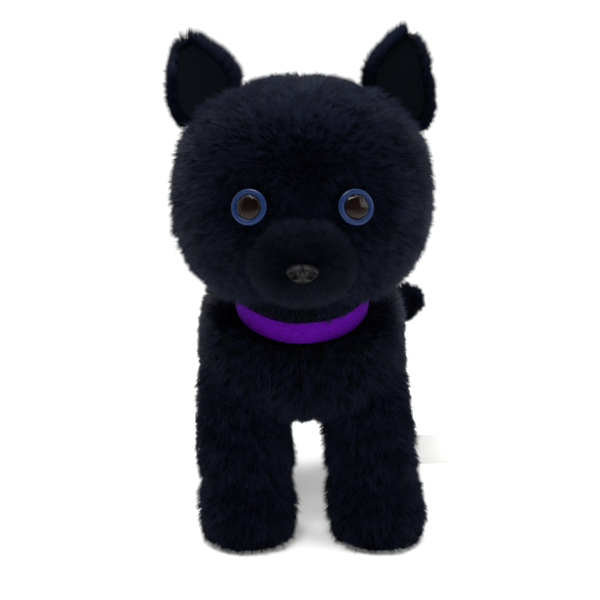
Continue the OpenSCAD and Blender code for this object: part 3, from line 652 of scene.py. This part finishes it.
for s, name in ((1, "ear_left"), (-1, "ear_right")):
    frame_at = turn("y", 39.5 * s) @ turn("z", -8 if s > 0 else 24)
    base = HEAD + np.array([s * 101 * 0.69, 2, 89 * 0.725])
    put = lambda q: q @ frame_at.T + base
    u = np.linspace(-1, 1, 29)[None]
    w = np.linspace(-0.06, 1, 44)[:, None]
    back, front = ear(s, u, w, 3.4, 7.0), ear(s, u, w, 1.6, 7.0)
    thick = np.sqrt(np.clip(1 - u ** 2, 0, 1))[..., None]
    back = front + (back - front) * (0.25 + 0.75 * thick)
    v, f = strip(put(back), put(front))
    o = mesh(name + "_back_cloth", v, f, backing)
    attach(o, name)
    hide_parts(name + "_back")
    w2 = np.linspace(0.03, 0.93, 36)[:, None]
    u2 = np.linspace(-1, 1, 25)[None] * 0.9
    dish = 2.2 * (1 - np.clip(u2 ** 2 / 0.81, 0, 1)) * (1 - (2 * w2 - 1) ** 2)
    face, rear = ear(s, u2, w2, 0.9, 8.0), ear(s, u2, w2, 1.5, 8.0)
    face[..., 1] += dish * 0.3
    v, f = strip(put(face), put(rear))
    o = mesh(name + "_lining_velour", v, f, velour)
    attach(o, name)
    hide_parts(name + "_lining")
    m, n = back.shape[:2]
    up = frame_at @ np.array([0, 0, 1.0])
    o = grow(name + "_back_pile", put(back).reshape(-1, 3), grid(m, n, False), long_pile, 18000, 51 + s, 8.0,
             up - 0.3 * np.array([0, 0, 1.0]), 48, way=frame_at @ np.array([0, 1.0, 0]))
    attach(o, name)
    # fringe: a narrow band of pile along the rim, turned outward past the edge
    edge = np.array([[0.90, 0.95, 1.0]])
    along = np.linspace(0.02, 1, 60)[:, None]
    middle = put(ear(s, np.array(0.0), np.array(0.45), 0, 0))
    for e, part in ((-1, "a"), (1, "b")):
        rim = put(ear(s, edge * e, along, 2.0, 7.0))
        o = grow(name + "_fringe_" + part, rim.reshape(-1, 3), grid(*rim.shape[:2], False), long_pile, 7500,
                 61 + s + e, 10.5 if e * s < 0 else 8.0, lambda p: (p - middle) + 12 * up, 66, spread=1.0,
                 way=frame_at @ np.array([0, -1.0, 0]))
        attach(o, name)

# ---------------------------------------------------------------- filling
# Loose polyester fibre inside every bag of cloth, as lumpy white masses with a fine woolly grain. None of it
# shows from outside at rest.
fibre, tree, shader = principled("white polyester fibre filling", Base_Color=srgb("#efeeea"), Roughness=0.95,
                                 Sheen_Weight=0.4)
geo = add(tree, "ShaderNodeTexCoord")
noise = add(tree, "ShaderNodeTexNoise", [("Vector", geo, "Object")], Scale=260.0, Detail=5.0)
bump = add(tree, "ShaderNodeBump", [("Height", noise, "Fac")], Strength=0.7, Distance=0.002)
tree.links.new(bump.outputs["Normal"], shader.inputs["Normal"])


def wad(name, node, body_name, rings, first, last, seed):
    """A closed lumpy mass from rings of points between two end points."""
    v = np.concatenate([rings.reshape(-1, 3), [first], [last]])
    v = v - unit(v - v.mean(0)) * (1.2 + 0.8 * lumps(v, 14, seed) + 0.4 * lumps(v, 5, seed + 1))[:, None]
    o = mesh(name, v, capped(*rings.shape[:2]), fibre)
    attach(o, body_name)
    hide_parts(node)


b, a = np.linspace(-84, 84, 49)[:, None], np.linspace(0, 360, 73)[:-1][None]
right, left = ray(-90.0, 0.0), ray(90.0, 0.0)
wad("head_fibre", "head_stuffing", "head", lid(head(ray(b, a), 7.5), 1, FIBRE_CLEAR),
    head(right, 7.5), head(left, 7.5), 71)
wad("torso_fibre", "torso_stuffing", "torso", lid(body(ray(b, a), 7.5), -1, FIBRE_CLEAR),
    body(right, 7.5), body(left, 7.5), 72)
NECK_FIBRE = 44.5
ball = ray(b, a) * NECK_FIBRE + NECK
h = (ball - NECK) @ NECK_UP
ball = ball + np.maximum(-10.5 - h, 0)[..., None] * NECK_UP
wad("neck_fibre", "neck_stuffing", "neck", ball, NECK - [NECK_FIBRE, 0, 0], NECK + [NECK_FIBRE, 0, 0], 73)
for name, spec in legs.items():
    z = np.linspace(4, 146, 44)[:, None]
    ang = np.linspace(0, 360, 49)[:-1][None]
    wad(name + "_fibre", name + "_stuffing", name + "_leg", leg(spec, z, ang, PILE + 1.4),
        np.array([spec[3], spec[4], 3.2]), np.array([spec[0], spec[1], 149.0]), 74)
s = np.linspace(0.02, 0.985, 50)[:, None]
ang = np.linspace(0, 360, 33)[:-1][None]
wad("tail_fibre", "tail_stuffing", "tail", tail(s, ang, PILE + 1.6), TAIL[0],
    tail(np.array(1.03), np.array(0.0), 16.0), 75)

# ---------------------------------------------------------------- neck
# The short neck the collar stands on: a ball of pile cloth, bare under the band.
ang = np.linspace(0, 360, 97)[:-1][None]
h = np.concatenate([np.linspace(-16, -9.9, 6), np.linspace(-9.7, 9.7, 5), np.linspace(9.9, 49.6, 14)])[:, None]
turned = np.radians(ang)
across = np.cos(turned)[..., None] * np.array([1.0, 0, 0]) + np.sin(turned)[..., None] * NECK_BACK


def neck(h, t):
    """Neck surface at height h: a ball of radius 50.4 shrunk by t, with a waist 2.1 mm deep under the band."""
    r = np.sqrt(np.clip((50.4 - t) ** 2 - np.clip(h, -16 + t, 49) ** 2, 4, None)) - 2.1 * (np.abs(h) < 9.8)
    return NECK + r[..., None] * across + h[..., None] * NECK_UP


out, inn = neck(h, 0.0), neck(np.clip(h, -14.5, 47), 1.4)
top = NECK + 50.2 * NECK_UP
v, f = cup(out, top, inn, top - 2 * NECK_UP)
o = mesh("neck_panel_cloth", v, f, backing)
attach(o, "neck")
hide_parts("neck_panel")
# pile on the neck above the band, brushed down over its edge where the chin doesn't hide it
rows = neck(np.linspace(10.4, 27, 8)[:, None], 1.0)
skin = grid(*rows.shape[:2])
o = grow("neck_panel_pile", rows.reshape(-1, 3), skin, long_pile, 12000, 81, 5.2, -NECK_UP, 62,
         spread=1.1, way=(rows - NECK).reshape(-1, 3)[skin[:, 0]])
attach(o, "neck")

# ---------------------------------------------------------------- collar
# A purple felt band 18 mm wide and 2 mm thick, closed at the nape with hook and loop. Felt is matted fibre, so
# its colour is even and dull with a slight mottle.
felt, tree, shader = principled("purple felt", Base_Color=srgb("#45006f"), Roughness=0.95, Sheen_Weight=0.05,
                                Sheen_Roughness=0.4, Sheen_Tint=srgb("#8a30c8"), Specular_IOR_Level=0.05)
geo = add(tree, "ShaderNodeTexCoord")
noise = add(tree, "ShaderNodeTexNoise", [("Vector", geo, "Object")], Scale=520.0, Detail=4.0)
ramp = add(tree, "ShaderNodeValToRGB", [("Fac", noise, "Fac")])
ramp.color_ramp.elements[0].position, ramp.color_ramp.elements[0].color = 0.35, srgb("#3d0268")
ramp.color_ramp.elements[1].position, ramp.color_ramp.elements[1].color = 0.68, srgb("#520488")
bump = add(tree, "ShaderNodeBump", [("Height", noise, "Fac")], Strength=0.5, Distance=0.0005)
tree.links.new(ramp.outputs["Color"], shader.inputs["Base Color"])
tree.links.new(bump.outputs["Normal"], shader.inputs["Normal"])
RING = 48.9


def band(r, deg, w, thick, edge=0.6):
    """A felt band as a closed loop of cross sections: a rounded rectangle w wide, thick deep, at radius r(deg)."""
    deg = np.asarray(deg, float)
    x = np.array([0, thick - edge, thick, thick, thick - edge, 0, 0, 0])
    y = np.array([-w / 2, -w / 2, -w / 2 + edge, w / 2 - edge, w / 2, w / 2, w / 6, -w / 6])
    q = np.radians(deg - 90)[:, None]
    rad = r(deg)[:, None] + x[None]
    wave = 0.25 * np.sin(np.radians(deg) * 7)[:, None]
    p = NECK + (rad * np.cos(q))[..., None] * np.array([1.0, 0, 0]) + (
        rad * np.sin(q))[..., None] * NECK_BACK + (y[None] + wave)[..., None] * NECK_UP
    m, n = p.shape[:2]
    k = np.arange(n - 2)
    f = np.concatenate([grid(m, n), np.stack([0 * k, k + 2, k + 1], 1),
                        np.stack([0 * k + (m - 1) * n, (m - 1) * n + k + 1, (m - 1) * n + k + 2], 1)])
    return p.reshape(-1, 3), f


# the loose end climbs 4.5 mm to lie over the other end and the two tapes
v, f = band(lambda d: RING + 4.5 * ease(d, 166, 178), np.linspace(-172, 212, 260), 18.0, 2.0)
o = mesh("collar_strap_felt", v, f, felt)
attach(o, "collar")
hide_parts("collar_strap")
for node, low, code in (("collar_loop_patch", 51.0, "#3f0a66"), ("collar_hook_patch", 52.2, "#2c0c44")):
    tape, tree, shader = principled(node.split("_")[1] + " tape nylon", Base_Color=srgb(code), Roughness=0.7)
    geo = add(tree, "ShaderNodeTexCoord")
    cells = add(tree, "ShaderNodeTexVoronoi", [("Vector", geo, "Object")], Scale=1100.0)
    bump = add(tree, "ShaderNodeBump", [("Height", cells, "Distance")], Strength=0.8, Distance=0.0006)
    tree.links.new(bump.outputs["Normal"], shader.inputs["Normal"])
    v, f = band(lambda d: low + 0 * d, np.linspace(190, 210, 16), 16.0, 1.1, 0.2)
    o = mesh(node + "_nylon", v, f, tape)
    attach(o, "collar")
    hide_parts(node)

# ---------------------------------------------------------------- eyes
# Safety eyes: a blue flanged cup on a ribbed shank, a dark brown pupil, a clear glossy dome that takes the
# small highlight, and a locking washer inside. Profiles are (radius, height) pairs about the shank's axis.


def lathe(profile, n=96):
    """A closed turned solid from (radius, height) pairs that start and end on the axis, outward."""
    p = np.asarray(profile, float)
    q = np.linspace(0, 2 * math.pi, n + 1)[:-1]
    r, h = p[1:-1, :1], p[1:-1, 1:]
    ring = np.stack([r * np.cos(q), r * np.sin(q), h + 0 * q], -1)
    v = np.concatenate([ring.reshape(-1, 3), [[0, 0, p[0, 1]]], [[0, 0, p[-1, 1]]]])
    return v, capped(len(ring), n)


blue = principled("blue moulded acrylic", Base_Color=srgb("#11244a"), Roughness=0.25, Specular_IOR_Level=0.2)[0]
brown = principled("brown moulded acrylic", Base_Color=srgb("#140804"), Roughness=0.5,
                   Specular_IOR_Level=0.05)[0]
# the index is set below acrylic's real 1.49 to weaken the dome's reflections
clear = principled("clear acrylic", Base_Color=srgb("#fbfcff"), Roughness=0.02, Transmission_Weight=1.0,
                   IOR=1.18)[0]
white = principled("natural nylon washer", Base_Color=srgb("#dcdcd6"), Roughness=0.45)[0]


def arc(r0, h0, wide, high, first, last, count):
    """Points of an ellipse about (r0, h0) from one angle to another, in radians."""
    return [(r0 + wide * math.cos(x), h0 + high * math.sin(x)) for x in np.linspace(first, last, count)]


shank = [(0, -15), (2.3, -15), (2.6, -14)]
for low in range(-13, -1, 2):
    shank += [(2.6, low), (2.35, low + 0.4), (2.6, low + 1.4)]
flange = [(2.6, 0.6), (11.4, 0.6), (12.0, 1.4), (12.0, 2.6)] + arc(10.05, 2.9, 1.95, 1.35, 0, math.pi, 14)
cup_profile = shank + flange + [(8.05, 2.2), (0, 2.2)]
pupil_profile = [(0, 2.25), (7.9, 2.25), (7.95, 3.4)] + arc(0, 3.4, 7.95, 2.1, 0.1, 1.5, 14) + [(0, 5.5)]
dome_profile = [(0, 5.6)] + arc(0, 3.45, 8.02, 2.15, 1.5, 0.1, 12)
dome_profile += arc(0, 3.5, 8.06, 3.3, 0.1, 1.52, 18) + [(0, 6.8)]
washer_profile = [(2.66, -4.6), (9, -4.6), (9, -3.9), (6, -3.5), (2.66, -3.4)]


def ring_solid(profile, n=48):
    """A turned ring from a closed outline that doesn't touch the axis."""
    p = np.asarray(profile, float)
    q = np.linspace(0, 2 * math.pi, n + 1)[:-1]
    ring = np.stack([p[:, :1] * np.cos(q), p[:, :1] * np.sin(q), p[:, 1:] + 0 * q], -1)
    m, j = len(p), np.arange(n)
    i, last = (j + 1) % n, (m - 1) * n
    seam = np.concatenate([np.stack([last + j, last + i, i], 1), np.stack([last + j, i, j], 1)])
    return ring.reshape(-1, 3), np.concatenate([grid(m, n), seam])


EYE_B = math.degrees(math.asin(36 / 87.4))
for s, name in ((1, "eye_left"), (-1, "eye_right")):
    d = ray(s * EYE_B, -9.4)
    at = HEAD + egg(d, (97, 78, 85), 2.35 - 0.3 * d[2]) * d
    turn_eye = turn("z", 13 * s) @ turn("x", 84)
    for part, profile, mat, slot_name in (("cup", cup_profile, blue, "eye_blue"),
                                          ("pupil", pupil_profile, brown, "eye_brown"),
                                          ("dome", dome_profile, clear, "eye_clear")):
        v, f = lathe(profile)
        o = mesh(f"{name}_{part}_moulding", v @ turn_eye.T + at, f, mat)
        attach(o, "head")
        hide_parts(f"{name}_{part}")
    v, f = ring_solid(washer_profile)
    o = mesh(f"{name}_washer_moulding", v @ turn_eye.T + at, f, white, smooth=False)
    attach(o, "head")
    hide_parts(f"{name}_washer")

# ---------------------------------------------------------------- nose
# A moulded nose: a wide top that rolls into two nostril wings, a groove down the middle and a round lower lobe.
# The mould leaves a satin grain finer than a tenth of a millimetre.
nose_mat, tree, shader = principled("black moulded PVC", Base_Color=srgb("#08090c"), Roughness=0.5,
                                    Specular_IOR_Level=0.14)
geo = add(tree, "ShaderNodeTexCoord")
noise = add(tree, "ShaderNodeTexNoise", [("Vector", geo, "Object")], Scale=1500.0, Detail=2.0)
bump = add(tree, "ShaderNodeBump", [("Height", noise, "Fac")], Strength=0.12, Distance=0.0002)
tree.links.new(bump.outputs["Normal"], shader.inputs["Normal"])


def nose(u, w):
    """Nose surface in its own frame, x across, y up, z out: a squashed dome over a rounded triangle, with two
    nostril dents low at the sides, raised wings over them, a groove from the middle up, and a lower lobe."""
    x, y = np.broadcast_arrays(u, w)
    shape = np.clip(1 - np.abs(x) ** 2.4 - np.abs(y) ** 2.4, 0, 1)
    z = 6.2 * shape ** 0.5
    X = x * 10.8 * np.clip(0.66 + 0.42 * (y + 1) / 1.3, 0.5, 1.0)
    Y = y * 6.6 - 0.3
    for s in (-1, 1):
        z = z - 7.0 * np.exp(-((X - s * 6.0) / 2.7) ** 2 - ((Y + 1.6) / 2.2) ** 2)
        z = z + 1.0 * np.exp(-((X - s * 6.4) / 3.0) ** 2 - ((Y - 2.6) / 1.4) ** 2)
    z = z - 1.1 * np.exp(-(X / 0.6) ** 2) * np.clip((Y + 0.5) / 2, 0, 1)
    z = z + 2.4 * np.exp(-(X / 3.0) ** 2 - ((Y + 3.4) / 2.6) ** 2)
    return np.stack([X, Y, np.maximum(z, 0) - 1.5], -1)


rr, q = np.linspace(1, 0.02, 34)[:, None] ** 0.7, np.linspace(0, 360, 129)[:-1][None]
cq, sq = np.cos(np.radians(q)), np.sin(np.radians(q))
k = (np.abs(cq) ** 2.4 + np.abs(sq) ** 2.4) ** (-1 / 2.4)
face = nose(rr * k * cq, rr * k * sq)
back = face.copy()
back[..., 2] = -3.0
shank = 2.4 * np.stack([cq[0], sq[0]], -1)
rings = [np.concatenate([shank, np.full((len(shank), 1), h)], 1) for h in (-17, -16, -3.2)]
rings = np.stack(rings + [back[0] * [0.96, 0.96, 1]] + list(face))
v = np.concatenate([rings.reshape(-1, 3), [[0, 0, -17.2]], [face[-1].mean(0)]])
nose_turn = turn("x", 94)
nose_put = nose_at + np.array([0, 0.5, 0])
o = mesh("nose_button_moulding", v @ nose_turn.T + nose_put, capped(*rings.shape[:2]), nose_mat)
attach(o, "head")
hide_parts("nose_button")
v, f = ring_solid([(2.45, -11.6), (7.6, -11.6), (7.6, -11.0), (5, -10.6), (2.45, -10.4)])
o = mesh("nose_washer_moulding", v @ nose_turn.T + nose_at, f, white, smooth=False)
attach(o, "head")
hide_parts("nose_washer")

# ---------------------------------------------------------------- care label
# A blank satin ribbon sewn by its end into the side of the hind left paw, woven so
# fine that only a faint rib shows.
satin, tree, shader = principled("white polyester satin", Base_Color=srgb("#f4f4f2"), Roughness=0.42,
                                 Sheen_Weight=0.2)
geo = add(tree, "ShaderNodeTexCoord")
wave = add(tree, "ShaderNodeTexWave", [("Vector", geo, "Object")], Scale=700.0, Distortion=0.6,
           bands_direction="Z")
bump = add(tree, "ShaderNodeBump", [("Height", wave, "Fac")], Strength=0.1, Distance=0.0001)
tree.links.new(bump.outputs["Normal"], shader.inputs["Normal"])
low, high = [np.array(b) * 1000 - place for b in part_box("care_label")]


def label(side):
    """One face of the label: flat from the seam and curling gently to and fro along its length."""
    x, z = np.meshgrid(np.linspace(0, 1, 60), np.linspace(0, 1, 16), indexing="ij")
    y = (low[1] + high[1]) / 2 + 1.0 * np.sin(3.6 * x) * x + 0.35 * np.sin(9 * x + 2 * z) * x + side * 0.25
    return np.stack([low[0] + (high[0] - low[0]) * x, y, 3.2 + 29.6 * z], -1)


v, f = strip(label(1), label(-1))
o = mesh("care_label_satin", v, f, satin)
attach(o, "care_label")
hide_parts("care_label")

# ---------------------------------------------------------------- stage
# White table and wall as one sweep, a large soft light over the camera and the camera at eye height.
paper = principled("white paper sweep", Base_Color=srgb("#f4f4f3"), Roughness=0.8,
                   Emission_Color=srgb("#ffffff"), Emission_Strength=0.12)[0]
t = np.linspace(0, 1, 60)[:, None]
q = np.clip((t - 0.55) / 0.2, 0, 1) * math.pi / 2
y = -6.0 + 9.6 * np.clip(t / 0.55, 0, 1) + 0.9 * np.sin(q)
z = 0.9 * (1 - np.cos(q)) + 2.6 * np.clip((t - 0.75) / 0.25, 0, 1)
x = np.linspace(-9, 9, 3)[None]
sweep = np.stack([x + 0 * t, y + 0 * x, z + 0 * x], -1) * 1000 - place
floor = mesh("paper_sweep", sweep.reshape(-1, 3), grid(60, 3, False)[:, ::-1], paper)


def softbox(name, at, target, size, power):
    """A square white area light at a point, turned to a target, in metres and watts."""
    data = bpy.data.lights.new(name, "AREA")
    data.size, data.energy = size, power
    o = bpy.data.objects.new(name, data)
    bpy.context.scene.collection.objects.link(o)
    o.location = at
    way = np.array(target) - np.array(at)
    o.rotation_euler = (math.acos(-way[2] / np.linalg.norm(way)), 0, math.atan2(-way[0], way[1]))


# a dark card in front of the kitten, hidden from the camera
flag = principled("black cloth flag", Base_Color=srgb("#0c0c0e"), Roughness=1.0)[0]
card = np.array([[-3200, -2200, 120], [3200, -2200, 120], [3200, -2200, 2900], [-3200, -2200, 2900.0]]) - place
card = mesh("black_flag", card, np.array([[0, 1, 2], [0, 2, 3]]), flag)
card.visible_camera = False
centre = (place[0] / 1000, place[1] / 1000 - 0.02, 0.2)
softbox("key", (centre[0] - 0.25, -0.85, 1.7), centre, 0.7, 26)
softbox("fill", (centre[0] + 1.3, -1.0, 0.9), centre, 0.8, 8)
softbox("top", (centre[0], 0.2, 1.9), centre, 1.6, 22)
softbox("back left", (centre[0] - 1.2, 1.0, 1.0), centre, 0.9, 12)
softbox("back right", (centre[0] + 1.2, 1.0, 1.0), centre, 0.9, 12)
world = bpy.data.worlds.new("studio")
world.use_nodes = True
world.node_tree.nodes["Background"].inputs["Color"].default_value = srgb("#ffffff")
world.node_tree.nodes["Background"].inputs["Strength"].default_value = 1.1
bpy.context.scene.world = world
bpy.context.scene.view_settings.view_transform = "Standard"

cam = bpy.data.cameras.new("camera")
cam.lens, cam.sensor_width, cam.clip_start, cam.shift_y = 43.3, 36, 0.02, -0.05
camera = bpy.data.objects.new("camera", cam)
bpy.context.scene.collection.objects.link(camera)
camera.location = (place[0] / 1000 - 0.0016, (place[1] - 623.3) / 1000, 0.2382)
camera.rotation_euler = (math.radians(90 - 3.57), 0, 0)
bpy.context.scene.camera = camera
